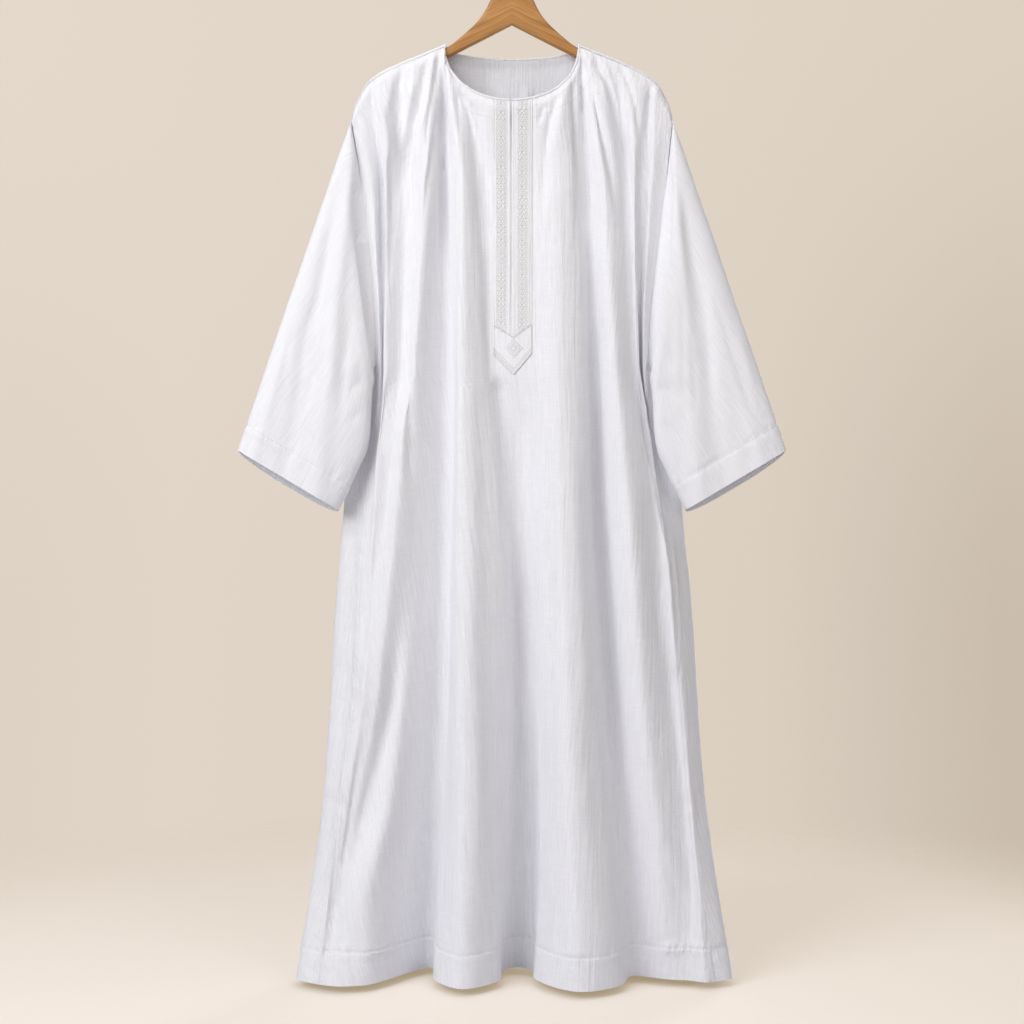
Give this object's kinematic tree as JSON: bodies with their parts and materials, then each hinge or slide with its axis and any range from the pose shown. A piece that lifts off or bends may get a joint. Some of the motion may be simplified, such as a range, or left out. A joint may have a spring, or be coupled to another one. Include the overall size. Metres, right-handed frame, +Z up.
{
  "type": "thobe robe on a wooden hanger",
  "caption": "Long white collarless thobe with wide straight sleeves, a centre-front slit between embroidered bands, hanging flat on a wooden clothes hanger.",
  "frame": {"origin": "the highest point inside the hook's bow, where the rail bears", "axes": "+X to the right as the robe is seen from the front, +Y from the front to the back, +Z up"},
  "size_m": [0.861, 0.218, 1.6363],
  "materials": {
    "cloth": "matt plain-woven white cotton blend",
    "embroidery": "white on white machine embroidery on a slightly greyer ground",
    "wood": "honey-brown varnish, satin",
    "steel": "polished wire"
  },
  "bodies": {
    "root": {"robe_front": "cloth", "robe_back": "cloth", "sleeve_left": "cloth", "sleeve_right": "cloth", "neck_binding": "cloth", "placket_left": "embroidery", "placket_right": "embroidery", "placket_point": "embroidery", "hanger_wood": "wood", "hanger_hook": "steel", "hanger_ferrule": "steel"}
  },
  "joints": []
}
